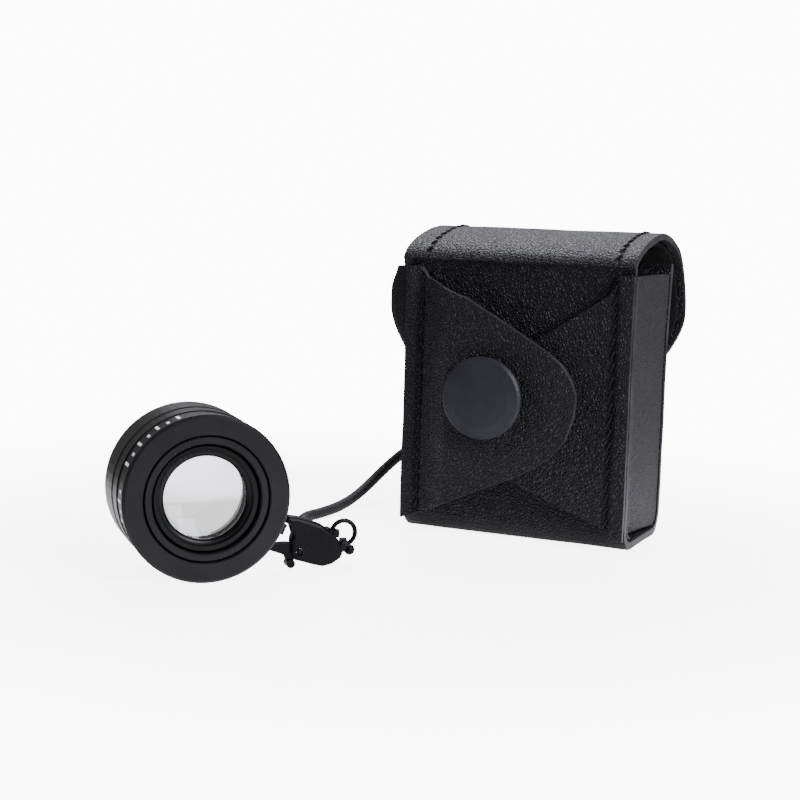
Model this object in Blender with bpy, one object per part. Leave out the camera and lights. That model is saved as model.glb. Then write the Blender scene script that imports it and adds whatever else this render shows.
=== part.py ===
"""A small round magnifier tethered by a short cord to its upright leather case.

Frame: X runs along the width of the case, Y into its depth (its snap tongue faces -Y) and Z up.
The origin is the middle of the flat bottom of the case. Lengths below are in millimetres and are
turned into metres by MM when a mesh is made.
"""

import math

import bmesh
import bpy
from mathutils import Matrix, Vector

MM = 0.001

# Case
CASE_WIDTH = 38.2
FRONT = -9.7
BACK = 10.9
WRAP_TOP = 43.0
LEATHER = 1.2
GUSSET_LEATHER = 1.0
LINING = 0.5
BOTTOM_RADIUS = 3.8
SEAM_WIDTH = 3.4
LAYER_GAP = 0.25
LEFT_BULGE = 7.3
HALF_WIDTH = CASE_WIDTH / 2

# Lid
LID_LEATHER = 1.1
LID_LINING = 0.6
LID_PIVOT = (0.0, -10.95, 43.55)
LID_LEFT_EXTRA = 0.9
FLAP_START = 35.5
FLAP_END = 15.8
LID_LINE = [
    (-10.9, 43.75),
    (-10.5, 45.0),
    (-9.4, 46.3),
    (-7.4, 47.5),
    (-4.4, 48.6),
    (-1.0, 49.4),
    (2.5, 49.95),
    (6.0, 50.1),
    (10.0, 49.5),
    (13.5, 48.4),
    (16.4, 46.9),
    (18.6, 44.8),
    (20.2, 42.2),
    (21.3, 39.2),
    (21.7, 36.2),
    (21.4, 33.0),
    (20.8, 29.5),
    (19.9, 26.0),
    (18.9, 22.5),
    (17.9, 19.0),
    (17.1, FLAP_END),
]
LID_SNAP_Z = 24.0
LID_SNAP = (0.0, 19.33, LID_SNAP_Z)
LID_SNAP_OUT = Vector((0.0, 3.5, -1.0)).normalized()

# Tongues
ROOT_LEATHER = 1.0
TONGUE_FACE = FRONT - 0.2
TONGUE_LIFT = 3.35
INNER_LEATHER = 0.9
INNER_LIFT = 0.5
OUTER_PIVOT = (-15.4, -10.95, 22.0)
INNER_PIVOT = (15.4, -10.85, 22.0)
OUTER_UPPER = [
    (-16, 42.0),
    (-7.1, 39.1),
    (1.3, 34.2),
    (6.6, 31.2),
    (9.1, 29.4),
    (10.6, 27.4),
    (11.4, 25.6),
    (11.6, 24.4),
]
OUTER_LOWER = [
    (-16, 2.9),
    (-12.5, 4.5),
    (-5.9, 7.6),
    (0.25, 10.4),
    (4.65, 12.6),
    (7.8, 14.9),
    (10.05, 17.6),
    (11.3, 21.2),
    (11.6, 24.3),
]
INNER_UPPER = [(-9.0, 23.5), (-8.7, 25.0), (-7.0, 26.9), (-3.0, 29.1), (3.0, 32.3), (16.0, 41.1)]
INNER_LOWER = [(-9.0, 23.4), (-8.6, 20.2), (-7.0, 16.6), (-4.0, 13.1), (0.0, 10.2), (16.0, 3.7)]

# Press studs
CAP_DIAMETER = 13.2
CAP_HEIGHT = 2.0
SNAP_X = -3.5
SNAP_Z = 23.55

# Magnifier, whose own axes are: across it, up, and out of its front
LOUPE_RADIUS = 12.0
LOUPE_THICKNESS = 14.8
LOUPE_FRONT = (-26.32, -60.19, 12.0)
LOUPE_HEADING = math.radians(44.12)
BAIL_ANGLE = math.radians(-25.0)
BAIL_DEPTH = 6.85
BAIL_RADIUS = 12.8

# Clasp and ring, in the magnifier's own axes
KNOB = (23.18, -9.67)
SWIVEL_DIRECTION = (0.950, -0.312)
GATE_PIVOT = (15.2, -9.4)
CLASP_THICKNESS = 2.4
RING_CENTRE = (23.2, -7.75)
RING_RADIUS = 1.85
RING_WIRE = 0.36
RING_DEPTH = 10.0

# Cord and its ends
CORD_DIAMETER = 1.8
STAPLE = (-12.5, 14.4, 17.5)
CORD_ROUTE = [
    (-16.3, 14.9, 16.6),
    (-18.4, 15.6, 15.6),
    (-21.4, 16.2, 13.9),
    (-24.6, 16.1, 11.8),
    (-27.6, 15.1, 9.9),
    (-30.0, 13.4, 8.1),
    (-31.9, 11.2, 5.9),
    (-33.2, 8.5, 3.8),
    (-33.9, 5.2, 2.2),
    (-34.1, 1.4, 1.3),
    (-33.9, -2.8, 0.98),
    (-33.7, -7.0, 0.95),
    (-33.9, -11.2, 0.95),
    (-34.3, -14.6, 0.95),
    (-33.6, -17.8, 0.95),
    (-31.2, -20.7, 0.95),
    (-28.3, -23.8, 0.97),
    (-25.9, -27.2, 1.15),
    (-24.3, -30.6, 1.7),
    (-22.7, -33.7, 2.5),
    (-20.9, -36.0, 3.3),
]

SEGMENTS = 48


# ---------------------------------------------------------------- helpers


def clear_scene():
    for obj in list(bpy.data.objects):
        bpy.data.objects.remove(obj, do_unlink=True)


def make_material(name, colour, roughness, metallic=0.0, transmission=0.0):
    """A Principled material with one colour."""
    material = bpy.data.materials.new(name)
    material.use_nodes = True
    shader = material.node_tree.nodes["Principled BSDF"]
    shader.inputs["Base Color"].default_value = (*colour, 1.0)
    shader.inputs["Roughness"].default_value = roughness
    shader.inputs["Metallic"].default_value = metallic
    shader.inputs["Transmission Weight"].default_value = transmission
    material.diffuse_color = (*colour, 1.0)
    return material


def finish_mesh(mesh_data, name, material, pivot=(0.0, 0.0, 0.0)):
    """Turns a bmesh in millimetres into a named object whose origin is its pivot."""
    bmesh.ops.remove_doubles(mesh_data, verts=mesh_data.verts, dist=1e-4)
    bmesh.ops.recalc_face_normals(mesh_data, faces=mesh_data.faces)
    bmesh.ops.translate(mesh_data, verts=mesh_data.verts, vec=-Vector(pivot))
    bmesh.ops.scale(mesh_data, verts=mesh_data.verts, vec=(MM, MM, MM))
    mesh = bpy.data.meshes.new(name)
    mesh_data.to_mesh(mesh)
    mesh_data.free()
    mesh.shade_smooth()
    mesh.set_sharp_from_angle(angle=math.radians(35))
    mesh.materials.append(material)
    obj = bpy.data.objects.new(name, mesh)
    obj.location = Vector(pivot) * MM
    bpy.context.collection.objects.link(obj)
    return obj


def cut(obj, cutter, operation="DIFFERENCE"):
    """Takes one shape away from a body or adds it on; the shape itself stays as a hidden guide."""
    modifier = obj.modifiers.new(cutter.name, "BOOLEAN")
    modifier.operation = operation
    modifier.solver = "EXACT"
    modifier.object = cutter
    cutter.hide_render = True
    cutter.display_type = "WIRE"


def smooth_line(points, steps):
    """Points on a smooth Catmull-Rom curve through the given ones, with steps to each span."""
    line = []
    pts = [Vector(p) for p in points]
    pts = [2 * pts[0] - pts[1], *pts, 2 * pts[-1] - pts[-2]]
    for p0, p1, p2, p3 in zip(pts, pts[1:], pts[2:], pts[3:]):
        for step in range(steps):
            t = step / steps
            first = 2 * p1 + (p2 - p0) * t
            second = (2 * p0 - 5 * p1 + 4 * p2 - p3) * t * t
            third = (3 * p1 - p0 - 3 * p2 + p3) * t**3
            line.append(0.5 * (first + second + third))
    line.append(pts[-2])
    return line


def smoothstep(low, high, value):
    t = min(max((value - low) / (high - low), 0.0), 1.0)
    return t * t * (3 - 2 * t)


def arc(centre, radius, start, end, steps):
    """Points on an arc in a plane, with its angles in degrees."""
    points = []
    for step in range(steps + 1):
        angle = math.radians(start + (end - start) * step / steps)
        points.append((centre[0] + radius * math.cos(angle), centre[1] + radius * math.sin(angle)))
    return points


def offset_line(points, distance):
    """The line at a distance to the left of an open line in a plane, with mitred corners."""
    moved = []
    for index, point in enumerate(points):
        before = Vector(points[max(index - 1, 0)])
        after = Vector(points[min(index + 1, len(points) - 1)])
        here = Vector(point)
        normals = []
        for start, end in ((before, here), (here, after)):
            run = end - start
            if run.length > 1e-6:
                run.normalize()
                normals.append(Vector((-run.y, run.x)))
        total = sum(normals, Vector((0.0, 0.0)))
        total.normalize()
        moved.append(here + total * distance / max(total.dot(normals[0]), 0.4))
    return moved


def loft(sections):
    """A closed body through sections of equal point counts, capped at both ends."""
    mesh_data = bmesh.new()
    rings = [[mesh_data.verts.new(point) for point in section] for section in sections]
    for low, high in zip(rings, rings[1:]):
        count = len(low)
        for index in range(count):
            after = (index + 1) % count
            mesh_data.faces.new((low[index], low[after], high[after], high[index]))
    mesh_data.faces.new(rings[0])
    mesh_data.faces.new(rings[-1])
    bmesh.ops.triangulate(mesh_data, faces=[f for f in mesh_data.faces if len(f.verts) > 4])
    return mesh_data


def extrude_outline(outline, low, high):
    """A plate with an outline in X and Y, from one height to another."""
    return loft([[(x, y, low) for x, y in outline], [(x, y, high) for x, y in outline]])


def turn_profile(profile, segments=SEGMENTS):
    """A ring body turned about Z from a closed outline of (radius, height)."""
    mesh_data = bmesh.new()
    rings = []
    for step in range(segments):
        angle = 2 * math.pi * step / segments
        rings.append(
            [mesh_data.verts.new((r * math.cos(angle), r * math.sin(angle), z)) for r, z in profile]
        )
    count = len(profile)
    for step in range(segments):
        here = rings[step]
        there = rings[(step + 1) % segments]
        for index in range(count):
            after = (index + 1) % count
            mesh_data.faces.new((here[index], here[after], there[after], there[index]))
    return mesh_data


def turn_solid(profile, segments=SEGMENTS):
    """A body turned about Z from an open outline whose two ends lie on the axis."""
    mesh_data = bmesh.new()
    first = mesh_data.verts.new((0, 0, profile[0][1]))
    last = mesh_data.verts.new((0, 0, profile[-1][1]))
    rings = []
    for r, z in profile[1:-1]:
        rings.append(
            [
                mesh_data.verts.new(
                    (
                        r * math.cos(2 * math.pi * step / segments),
                        r * math.sin(2 * math.pi * step / segments),
                        z,
                    )
                )
                for step in range(segments)
            ]
        )
    for step in range(segments):
        after = (step + 1) % segments
        mesh_data.faces.new((first, rings[0][after], rings[0][step]))
        mesh_data.faces.new((last, rings[-1][step], rings[-1][after]))
        for low, high in zip(rings, rings[1:]):
            mesh_data.faces.new((low[step], low[after], high[after], high[step]))
    return mesh_data


def tube(points, radius, sides):
    """A capped round tube along a line of points, with no twist."""
    line = [Vector(p) for p in points]
    across = None
    sections = []
    for index, here in enumerate(line):
        run = line[min(index + 1, len(line) - 1)] - line[max(index - 1, 0)]
        run.normalize()
        if across is None:
            across = run.orthogonal()
        across = (across - run * across.dot(run)).normalized()
        other = run.cross(across)
        section = []
        for side in range(sides):
            angle = 2 * math.pi * side / sides
            section.append(here + radius * (math.cos(angle) * across + math.sin(angle) * other))
        sections.append(section)
    return loft(sections)


def turned_towards(mesh_data, direction, place=(0.0, 0.0, 0.0)):
    """Turns a body's Z axis to a direction and moves its own origin to a place."""
    turn = Vector((0, 0, 1)).rotation_difference(Vector(direction)).to_matrix().to_4x4()
    bmesh.ops.transform(mesh_data, matrix=Matrix.Translation(Vector(place)) @ turn, verts=mesh_data.verts)
    return mesh_data


def cylinder(radius, low, high, segments=24):
    return turn_solid([(0, low), (radius, low), (radius, high), (0, high)], segments)


# ---------------------------------------------------------------- case body


def wrap_line(inset, top_front, top_back):
    """The line in Y and Z of the strip that makes the front, bottom and back of the case.

    inset moves it inwards from the outer face. The back leans out a little at its open top.
    """
    radius = BOTTOM_RADIUS - inset
    low = inset
    line = [(FRONT + inset, top_front)]
    line += arc((FRONT + BOTTOM_RADIUS, low + radius), radius, 180, 270, 6)
    line += arc((BACK - BOTTOM_RADIUS, low + radius), radius, 270, 360, 6)
    line += [(BACK - inset, 30.0), (BACK - inset + 0.35, 37.0), (BACK - inset + 1.1, top_back)]
    return line


def strip_between(outer, inner, left, right):
    """A sheet with its section in Y and Z, running from one X to another."""
    section = outer + inner[::-1]
    return loft([[(left, y, z) for y, z in section], [(right, y, z) for y, z in section]])


def body_wrap(material):
    outer = wrap_line(0.0, WRAP_TOP, 45.0)
    inner = wrap_line(LEATHER, WRAP_TOP, 45.0)
    wrap = finish_mesh(
        strip_between(outer, inner, -HALF_WIDTH, HALF_WIDTH), "case_body_wrap", material
    )
    cut(wrap, rivet_hole("lid_post_hole_in_wrap"))
    return wrap


def body_lining(material):
    outer = wrap_line(LEATHER + LAYER_GAP, WRAP_TOP - 0.9, 44.0)
    inner = wrap_line(LEATHER + LAYER_GAP + LINING, WRAP_TOP - 0.9, 44.0)
    reach = HALF_WIDTH - SEAM_WIDTH - 1.0
    lining = finish_mesh(strip_between(outer, inner, -reach, reach), "case_body_lining", material)
    cut(lining, rivet_hole("lid_post_hole_in_lining"))
    return lining


def rivet_hole(name):
    """A hidden bar where the lid stud's post goes through the back of the case."""
    bar = turned_towards(cylinder(1.1, -4.0, 4.0, 16), (0, 1, 0), (0, BACK, LID_SNAP_Z))
    return finish_mesh(bar, name, GUIDE_MATERIAL)


def gusset_section(side, height, bulge):
    """The plan of a side gusset at one height: front flange, wall and back flange."""
    inset = LEATHER + LAYER_GAP + GUSSET_LEATHER / 2
    radius = BOTTOM_RADIUS - inset
    above = height - inset
    pull = 0.0
    if above < radius:
        pull = radius - math.sqrt(max(radius**2 - (radius - above) ** 2, 0.0))
    front = FRONT + inset + pull
    back = BACK - inset - pull + 1.0 * smoothstep(30.0, 45.0, height)
    line = [(HALF_WIDTH - 0.1, front), (HALF_WIDTH - SEAM_WIDTH + 0.9, front)]
    wall_front = Vector((HALF_WIDTH - SEAM_WIDTH + 1.1, front + 1.6))
    wall_back = Vector((HALF_WIDTH - 0.7, back))
    for step in range(16):
        share = (step / 16) ** 1.6
        point = wall_front.lerp(wall_back, share)
        line.append((point.x + bulge * math.sin(math.pi * share**0.34), point.y))
    line += [tuple(wall_back), (HALF_WIDTH - SEAM_WIDTH + 0.2, back)]
    outer = offset_line(line, GUSSET_LEATHER / 2)
    inner = offset_line(line, -GUSSET_LEATHER / 2)
    return [(side * p.x, p.y, height) for p in outer + inner[::-1]]


def gusset(name, side, largest_bulge, material):
    heights = [1.75, 2.05, 2.4, 2.9, 3.5, 4.5, 12.0, 20.0, 22.5, 25.0, 27.2, 29.0, 30.5]
    heights += [32.0 + 1.13 * step for step in range(11)]
    sections = []
    for height in heights:
        bulge = largest_bulge * smoothstep(21.0, 36.5, height) * (1 - 0.15 * smoothstep(39.5, 43.4, height))
        sections.append(gusset_section(side, height, bulge))
    return finish_mesh(loft(sections), name, material)


# ---------------------------------------------------------------- lid


def flap_half_width(y, z, inset):
    """Half of the lid's width at a point: straight over the top, then a round tongue at the back."""
    if y < 10 or z > FLAP_START:
        return HALF_WIDTH - inset
    share = min((FLAP_START - z) / (FLAP_START - FLAP_END), 1.0)
    return max(HALF_WIDTH * (1 - share**1.6) ** 0.8 - inset, 0.8)


def left_extra(y, z):
    """How much further the lid reaches on its left, where it stands out over the gusset."""
    if y > 10:
        return LID_LEFT_EXTRA * smoothstep(FLAP_START, 44.0, z)
    return LID_LEFT_EXTRA


def lid_sheet(name, first, start, thickness, inset, material):
    """One layer of the lid, from one depth below its outer face, leaving out its first points."""
    line = [(p.x, p.y) for p in smooth_line([(y, z, 0) for y, z in LID_LINE], 3)]
    near = offset_line(line, -start)
    far = offset_line(line, -start - thickness)
    sections = []
    for (y, z), upper, lower in list(zip(line, near, far))[first:]:
        right = flap_half_width(y, z, inset)
        left = -right - left_extra(y, z)
        top = [(left, upper.x, upper.y), (right, upper.x, upper.y)]
        sections.append(top + [(right, lower.x, lower.y), (left, lower.x, lower.y)])
    sheet = finish_mesh(loft(sections), name, material, LID_PIVOT)
    bar = turned_towards(cylinder(1.1, -4, 4, 16), LID_SNAP_OUT, LID_SNAP)
    cut(sheet, finish_mesh(bar, name + "_post_hole", GUIDE_MATERIAL, LID_PIVOT))
    return sheet


# ---------------------------------------------------------------- tongues


def height_at(x, edge):
    """The height of an edge at one X, on straight runs between its points."""
    for (x0, z0), (x1, z1) in zip(edge, edge[1:]):
        if x <= x1:
            return z0 + (z1 - z0) * (x - x0) / (x1 - x0)
    return edge[-1][1]


def outer_lift(x):
    return TONGUE_LIFT * smoothstep(-15.6, -9.4, x)


def inner_lift(x):
    return INNER_LIFT * smoothstep(-14.0, -3.0, -x)


def tongue_leaf(name, xs, upper, lower, lift, thickness, material, pivot):
    """A tongue's free leaf, lofted across X from its hinge to its tip."""
    sections = []
    for x in xs:
        low = height_at(x, lower)
        high = height_at(x, upper)
        back = TONGUE_FACE - lift(x)
        face = back - thickness
        sections.append([(x, back, low), (x, back, high), (x, face, high), (x, face, low)])
    leaf = finish_mesh(loft(sections), name, material, pivot)
    bar = turned_towards(cylinder(1.1, -5, 5, 16), (0, 1, 0), (SNAP_X, TONGUE_FACE - 2, SNAP_Z))
    cut(leaf, finish_mesh(bar, name + "_post_hole", GUIDE_MATERIAL, pivot))
    return leaf


def outer_tongue(material):
    xs = [-15.3 + 0.55 * step for step in range(12)]
    xs += [-7.1, -3.5, 1.3, 4.65, 6.6, 7.8, 9.1, 10.05, 10.6, 11.0, 11.3, 11.45, 11.56]
    return tongue_leaf(
        "outer_tongue", xs, OUTER_UPPER, OUTER_LOWER, outer_lift, LEATHER, material, OUTER_PIVOT
    )


def inner_tongue(material):
    xs = [-8.97, -8.85, -8.7, -8.4, -7.8, -7.0, -5.5, -4.0, -3.0, 0.0, 3.0]
    xs += [3.0 + 1.23 * step for step in range(1, 11)]
    return tongue_leaf(
        "inner_tongue", xs, INNER_UPPER, INNER_LOWER, inner_lift, INNER_LEATHER, material, INNER_PIVOT
    )


def tongue_root(name, side, material):
    """The sewn edge of a tongue, which stays on the case."""
    inner = side * (HALF_WIDTH - SEAM_WIDTH)
    outer = side * HALF_WIDTH
    outline = [(inner, 2.9), (outer, 1.9), (outer, WRAP_TOP), (inner, WRAP_TOP)]
    face = TONGUE_FACE - ROOT_LEATHER
    sections = [[(x, TONGUE_FACE, z) for x, z in outline], [(x, face, z) for x, z in outline]]
    return finish_mesh(loft(sections), name, material)


# ---------------------------------------------------------------- press studs


def cap_body():
    """A domed cap with a raised rim, its post pointing down its axis."""
    radius = CAP_DIAMETER / 2
    profile = [(0, -1.1), (0.8, -1.1), (0.8, 0.0), (radius - 0.7, 0.0), (radius, 0.45)]
    profile += [(radius, 1.0), (radius - 0.35, 1.45), (radius - 1.1, 1.6)]
    profile += [(radius * share, 1.55 + 0.45 * (1 - share**2)) for share in (0.7, 0.5, 0.25)]
    profile += [(0, CAP_HEIGHT)]
    return turn_solid(profile)


def socket_body():
    """A sprung socket: a ring with a rolled outer edge and a bore for the stud."""
    profile = [(2.2, 0.0), (2.2, 1.0), (3.4, 1.0), (3.9, 0.6), (4.6, 0.6), (5.0, 0.3), (5.0, 0.0)]
    return turn_profile(profile, 32)


def stud_body():
    """A stud: a flat flange and a round button on a neck."""
    profile = [(0, 0), (4.1, 0), (4.1, 0.3), (1.5, 0.3), (1.35, 0.7), (1.6, 1.0), (1.3, 1.3), (0, 1.45)]
    return turn_solid(profile, 32)


def post_body(reach):
    """A rivet post: a flat head and a shank."""
    return turn_solid([(0, 0), (3.6, 0), (3.6, 0.25), (0.8, 0.25), (0.8, reach), (0, reach)], 24)


def front_snap(metal, cap_material):
    out = (0, -1, 0)
    leaf_back = TONGUE_FACE - TONGUE_LIFT
    cap = turned_towards(cap_body(), out, (SNAP_X, leaf_back - LEATHER - 0.2, SNAP_Z))
    finish_mesh(cap, "tongue_snap_cap", cap_material, OUTER_PIVOT)
    socket = turned_towards(socket_body(), (0, 1, 0), (SNAP_X, leaf_back + 0.25, SNAP_Z))
    finish_mesh(socket, "tongue_snap_socket", metal, OUTER_PIVOT)
    stud_base = TONGUE_FACE - INNER_LIFT - INNER_LEATHER - 0.2
    stud = turned_towards(stud_body(), out, (SNAP_X, stud_base, SNAP_Z))
    finish_mesh(stud, "tongue_snap_stud", metal, INNER_PIVOT)
    post = turned_towards(post_body(1.25), out, (SNAP_X, TONGUE_FACE - 0.05, SNAP_Z))
    finish_mesh(post, "tongue_stud_post", metal, INNER_PIVOT)


def lid_snap(metal, cap_material):
    cap = turned_towards(cap_body(), LID_SNAP_OUT, Vector(LID_SNAP) + 0.3 * LID_SNAP_OUT)
    finish_mesh(cap, "lid_snap_cap", cap_material, LID_PIVOT)
    layers = LID_LEATHER + LAYER_GAP + LID_LINING
    socket = turned_towards(socket_body(), -LID_SNAP_OUT, Vector(LID_SNAP) - (layers + 0.3) * LID_SNAP_OUT)
    finish_mesh(socket, "lid_snap_socket", metal, LID_PIVOT)
    stud = turned_towards(stud_body(), (0, 1, 0), (0, BACK + 0.25, LID_SNAP_Z))
    finish_mesh(stud, "lid_snap_stud", metal)
    inside = BACK - LEATHER - LAYER_GAP - LINING - 0.5
    post = turned_towards(post_body(2.3), (0, 1, 0), (0, inside, LID_SNAP_Z))
    finish_mesh(post, "lid_stud_post", metal)


# ---------------------------------------------------------------- cord and its ends


def cord_tab(leather, metal):
    """A leather tab on the back of the case, with a wire staple whose upright holds the cord's crimp."""
    x, bar_y, z = STAPLE
    y = BACK + 0.2
    outline = [(x - 3.6, z - 4.6), (x + 3.6, z - 4.6)]
    outline += arc((x + 1.6, z + 3.0), 2.0, 0, 90, 5) + arc((x - 1.6, z + 3.0), 2.0, 90, 180, 5)
    sections = [[(px, y, pz) for px, pz in outline], [(px, y + 1.1, pz) for px, pz in outline]]
    tab = finish_mesh(loft(sections), "cord_tab", leather)
    upper = [(x, y + 0.3, z + 2.2), (x, bar_y - 0.7, z + 2.2), (x, bar_y - 0.2, z + 2.0), (x, bar_y, z + 1.5)]
    route = upper + [(px, py, 2 * z - pz) for px, py, pz in upper[::-1]]
    for name, high in (("staple_hole_upper", z + 2.2), ("staple_hole_lower", z - 2.2)):
        bar = turned_towards(cylinder(0.7, -2, 2, 12), (0, 1, 0), (x, y + 0.5, high))
        cut(tab, finish_mesh(bar, name, GUIDE_MATERIAL))
    finish_mesh(tube(route, 0.42, 10), "tab_staple", metal)


def crimp(name, eye_centre, eye_axis, cord_end, material):
    """A crimp: an eye on one end, and a sleeve whose flat face stops just short of the cord."""
    eye = turn_profile([(0.72, -0.5), (1.2, -0.5), (1.2, 0.5), (0.72, 0.5)], 24)
    turned_towards(eye, eye_axis, eye_centre)
    run = Vector(cord_end) - Vector(eye_centre)
    length = run.length - 0.3
    profile = [(0, 0.95), (0.45, 0.95), (1.0, 1.5), (1.2, 1.9), (1.2, length), (0, length)]
    sleeve = turned_towards(turn_solid(profile, 16), run.normalized(), eye_centre)
    body = finish_mesh(eye, name, material, STAPLE)
    cut(body, finish_mesh(sleeve, name + "_sleeve", GUIDE_MATERIAL, STAPLE), "UNION")
    return body


def tether_cord(material):
    """The cord: a curve with a bevel along a smooth line through its route."""
    data = bpy.data.curves.new("tether_cord", "CURVE")
    data.dimensions = "3D"
    data.bevel_depth = CORD_DIAMETER / 2 * MM
    data.bevel_resolution = 2
    data.use_fill_caps = True
    line = smooth_line(CORD_ROUTE, 2)
    spline = data.splines.new("POLY")
    spline.points.add(len(line) - 1)
    for point, place in zip(spline.points, line):
        point.co = (*((place - Vector(STAPLE)) * MM), 1.0)
    data.materials.append(material)
    cord = bpy.data.objects.new("tether_cord", data)
    cord.location = Vector(STAPLE) * MM
    bpy.context.collection.objects.link(cord)


# ---------------------------------------------------------------- magnifier


ACROSS = Vector((math.cos(LOUPE_HEADING), math.sin(LOUPE_HEADING), 0.0))
OUTWARD = Vector((math.sin(LOUPE_HEADING), -math.cos(LOUPE_HEADING), 0.0))
UPWARD = Vector((0.0, 0.0, 1.0))


def loupe_point(across, up, depth):
    """The world place of a point given across and up from the magnifier's axis and behind its front."""
    return Vector(LOUPE_FRONT) + across * ACROSS + up * UPWARD - depth * OUTWARD


def on_loupe(mesh_data, across=0.0, up=0.0, depth=0.0):
    """Moves a body from its own axes to the magnifier's, where Z points out of the front."""
    turn = Matrix((ACROSS, UPWARD, OUTWARD)).transposed().to_4x4()
    place = Matrix.Translation(loupe_point(across, up, depth))
    bmesh.ops.transform(mesh_data, matrix=place @ turn, verts=mesh_data.verts)
    return mesh_data


def loupe_ring(name, profile, material, segments=SEGMENTS):
    """A turned part of the magnifier from an outline of (radius, depth behind the front)."""
    body = on_loupe(turn_profile([(r, -t) for r, t in profile], segments))
    return finish_mesh(body, name, material, LOUPE_FRONT)


def lens(name, radius, depth, bulge, edge, material):
    """A lens with two curved faces, starting at a depth behind the front."""
    shares = [0.0, 0.25, 0.5, 0.75, 0.9, 1.0]
    front = [(radius * share, -depth - bulge * share**2) for share in shares]
    back_depth = depth + 2 * bulge + edge
    back = [(radius * share, -back_depth + bulge * share**2) for share in shares[::-1]]
    return finish_mesh(on_loupe(turn_solid(front + back, 40)), name, material, LOUPE_FRONT)


def magnifier(metal, glass):
    rim = LOUPE_RADIUS
    end = LOUPE_THICKNESS
    loupe_ring(
        "front_bezel",
        [(9.1, 0.15), (9.25, 0.0), (rim - 0.4, 0.0), (rim, 0.4)]
        + [(rim, 1.3), (10.4, 1.3), (10.4, 12.7), (9.1, 12.7)],
        metal,
        64,
    )
    loupe_ring("marked_band", [(10.7, 1.55), (11.75, 1.55), (11.75, 5.1), (10.7, 5.1)], metal, 64)
    face_outline = [(7.85, 0.3), (8.0, 0.15), (8.75, 0.15), (8.85, 0.25), (8.85, 2.4), (7.85, 2.4)]
    loupe_ring("face_ring", face_outline, metal)
    cell_outline = [(6.7, 1.0), (6.85, 0.85), (7.45, 0.85), (7.55, 0.95), (7.55, 12.7), (6.7, 12.7)]
    loupe_ring("lens_cell", cell_outline, metal)
    loupe_ring("lens_retainer", [(5.95, 1.7), (6.4, 1.3), (6.4, 1.95), (5.95, 1.95)], metal, 40)
    loupe_ring("lens_spacer", [(5.9, 5.4), (6.4, 5.4), (6.4, 8.6), (5.9, 8.6)], metal, 40)
    barrel_outline = [(10.7, 8.65), (11.85, 8.65), (12.0, 8.8), (12.0, 14.4), (11.6, end), (10.7, end)]
    loupe_ring("rear_barrel", barrel_outline, metal, 64)
    loupe_ring(
        "rear_ring", [(5.9, 13.2), (10.4, 13.2), (10.4, 14.6), (10.2, end), (7.2, end), (5.9, 14.0)], metal
    )
    lens("front_lens", 6.4, 2.2, 0.7, 1.5, glass)
    lens("rear_lens", 6.4, 8.85, 0.9, 1.5, glass)


def lanyard_collar(metal):
    """The band behind the marked ring, with a bail that stands out on the clasp's side."""
    band = on_loupe(turn_profile([(10.7, -8.4), (11.9, -8.4), (11.9, -5.35), (10.7, -5.35)], 64))
    centre = loupe_point(
        BAIL_RADIUS * math.cos(BAIL_ANGLE), BAIL_RADIUS * math.sin(BAIL_ANGLE), BAIL_DEPTH
    )
    collar = finish_mesh(band, "lanyard_collar", metal, centre)
    block = extrude_outline([(11.4, -0.8), (14.1, -0.8), (14.1, 0.8), (11.4, 0.8)], -8.4, -5.35)
    turn = Matrix.Rotation(BAIL_ANGLE, 4, "Z")
    bmesh.ops.transform(block, matrix=turn, verts=block.verts)
    cut(collar, finish_mesh(on_loupe(block), "bail_block", GUIDE_MATERIAL, centre), "UNION")
    window = extrude_outline([(12.05, -2.0), (13.5, -2.0), (13.5, 2.0), (12.05, 2.0)], -7.75, -5.95)
    bmesh.ops.transform(window, matrix=turn, verts=window.verts)
    cut(collar, finish_mesh(on_loupe(window), "bail_window", GUIDE_MATERIAL, centre))
    return collar


# ---------------------------------------------------------------- clasp and ring


CLASP_OUTLINE = [
    (13.0, -4.35),
    (13.16, -5.1),
    (14.29, -5.66),
    (14.4, -6.25),
    (13.94, -7.4),
    (13.9, -9.6),
    (14.5, -10.7),
    (15.8, -11.05),
    (17.4, -11.55),
    (18.92, -11.88),
    (20.3, -11.55),
    (21.6, -10.7),
    (21.95, -9.9),
    (21.75, -8.9),
    (21.2, -7.9),
    (20.2, -6.85),
    (18.6, -5.55),
    (16.8, -4.85),
    (14.95, -4.25),
    (13.45, -4.03),
]
GATE_OUTLINE = [
    (10.3, -8.4),
    (10.35, -8.95),
    (10.82, -9.17),
    (13.0, -9.95),
    (13.3, -10.7),
    (13.5, -11.2),
    (14.3, -11.2),
    (14.7, -10.5),
    (15.3, -10.4),
    (15.95, -10.05),
    (16.2, -9.4),
    (15.9, -8.7),
    (15.2, -8.4),
    (14.4, -8.3),
    (13.6, -8.0),
    (12.66, -7.95),
    (11.9, -8.05),
    (11.0, -8.35),
]
SLOT_OUTLINE = [
    (12.5, -12.5),
    (15.2, -12.3),
    (15.9, -10.9),
    (16.6, -9.9),
    (16.6, -8.9),
    (15.9, -8.1),
    (15.0, -7.75),
    (13.4, -7.2),
    (12.0, -7.2),
]
HOOK_ROUTE = [
    (15.2, -4.95, 0.5),
    (14.2, -4.65, 0.5),
    (13.3, -4.4, 0.48),
    (12.75, -4.25, 0.45),
    (12.25, -4.35, 0.43),
    (11.98, -4.66, 0.43),
    (11.6, -5.41, 0.43),
    (11.22, -6.22, 0.43),
    (10.85, -7.0, 0.43),
    (10.62, -7.6, 0.4),
]


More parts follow.
